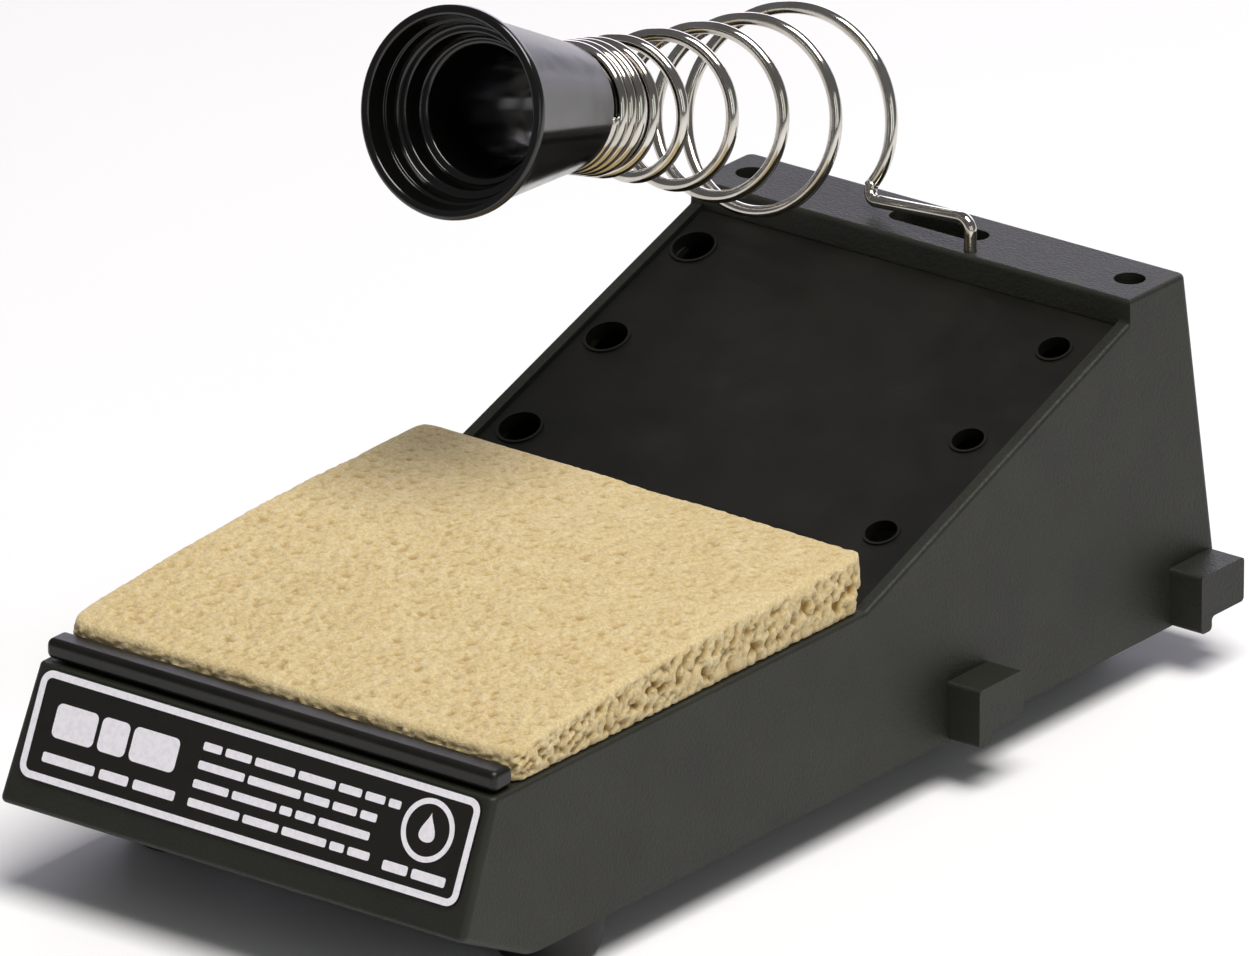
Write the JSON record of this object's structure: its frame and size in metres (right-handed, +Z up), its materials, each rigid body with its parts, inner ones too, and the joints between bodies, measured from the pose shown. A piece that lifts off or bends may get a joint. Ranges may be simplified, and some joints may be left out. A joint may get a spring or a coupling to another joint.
{
  "type": "soldering iron stand",
  "caption": "Wedge-shaped soldering iron stand with a coiled wire holder and funnel, a lift-out sponge tray with tip holes, a sponge and rubber feet.",
  "frame": {"origin": "middle of the flat underside of the housing, over the feet", "axes": "+Z up, +Y towards the high rear end, +X to the right seen from the low front"},
  "size_m": [0.0938, 0.187, 0.1194],
  "materials": {
    "housing_plastic": "fine spark-eroded texture, charcoal",
    "tray_plastic": "smooth, semi-gloss, near black",
    "funnel_plastic": "polished black",
    "holder_wire": "nickel-plated spring wire",
    "sponge_foam": "open-pored cellulose",
    "foot_rubber": "matte black",
    "label_film": "printed film, black with a white border",
    "ballast_steel": "rolled steel plate",
    "screw_steel": "zinc-plated"
  },
  "bodies": {
    "stand": {"housing": "housing_plastic", "bottom_cover": "housing_plastic", "ballast_weight": "ballast_steel", "ballast_screws": "screw_steel", "foot_front_left": "foot_rubber", "foot_front_right": "foot_rubber", "foot_rear_left": "foot_rubber", "foot_rear_right": "foot_rubber", "foot_screws": "screw_steel", "front_label": "label_film"},
    "tray": {"tip_tray": "tray_plastic"},
    "sponge_pad": {"sponge": "sponge_foam"},
    "holder": {"coil_holder": "holder_wire", "holder_funnel": "funnel_plastic", "leg_clip": "screw_steel"}
  },
  "joints": [
    {"name": "tray_tilt", "type": "hinge", "parent": "stand", "child": "tray", "pos_m": [0, 0.072, 0.0508], "axis": [-1, 0, 0], "range_deg": [0, 15]},
    {"name": "sponge_lift", "type": "slide", "parent": "tray", "child": "sponge_pad", "axis": [0, 0, 1], "range_m": [0, 0.02]},
    {"name": "holder_swivel", "type": "hinge", "parent": "stand", "child": "holder", "pos_m": [0.01, 0.07445, 0.0551], "axis": [0, 0, 1], "range_deg": [-6, 35]}
  ]
}
